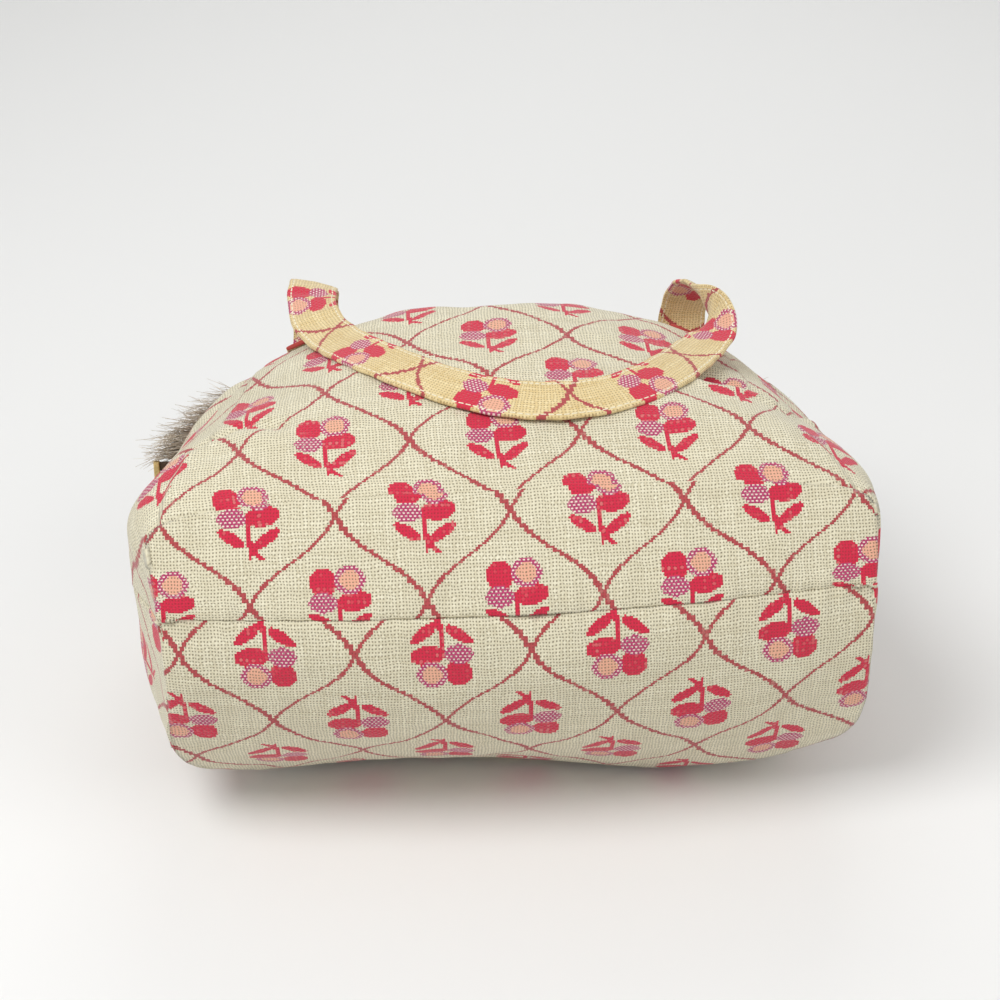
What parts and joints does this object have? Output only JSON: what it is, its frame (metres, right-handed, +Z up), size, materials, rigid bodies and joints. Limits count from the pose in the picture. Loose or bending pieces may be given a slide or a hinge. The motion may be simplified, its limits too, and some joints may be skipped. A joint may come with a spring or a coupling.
{
  "type": "tote bag",
  "caption": "Woven tapestry tote bag with a boxed base, two tapestry handles, a frayed mouth edge and an unzipped zip, lying stuffed on its back.",
  "frame": {"origin": "on the table, under the middle of the bag's bounding box", "axes": "+X along the base towards the bag's right as the mouth is seen from the base, +Y from the base to the mouth, +Z up; the bag lies on its back panel"},
  "size_m": [0.3536, 0.265, 0.2004],
  "materials": {
    "panel_cloth": "open plain weave, cream, with a woven brick-red trellis and sprig pattern",
    "strap_cloth": "warm cream tapestry strap with the same woven pattern as the bag",
    "zip_tape": "dark brown woven zip tape",
    "zip_teeth": "dull brass",
    "brass": "polished brass",
    "fringe": "frayed taupe threads with light tips"
  },
  "bodies": {
    "bag": {"front_panel": "panel_cloth", "back_panel": "panel_cloth", "front_handle": "strap_cloth", "back_handle": "strap_cloth", "front_zip_tape": "zip_tape", "back_zip_tape": "zip_tape", "front_zip_teeth": "zip_teeth", "back_zip_teeth": "zip_teeth", "zip_top_stops": "brass", "zip_end_clip": "brass", "zip_slider": "brass", "front_fringe": "fringe", "back_fringe": "fringe"},
    "pull": {"zip_pull": "brass"}
  },
  "joints": [
    {"name": "pull_hinge", "type": "hinge", "parent": "bag", "child": "pull", "pos_m": [-0.16841, 0.10531, 0.08503], "axis": [0, 0.2504, 0.9681], "range_deg": [-50, 90]}
  ]
}
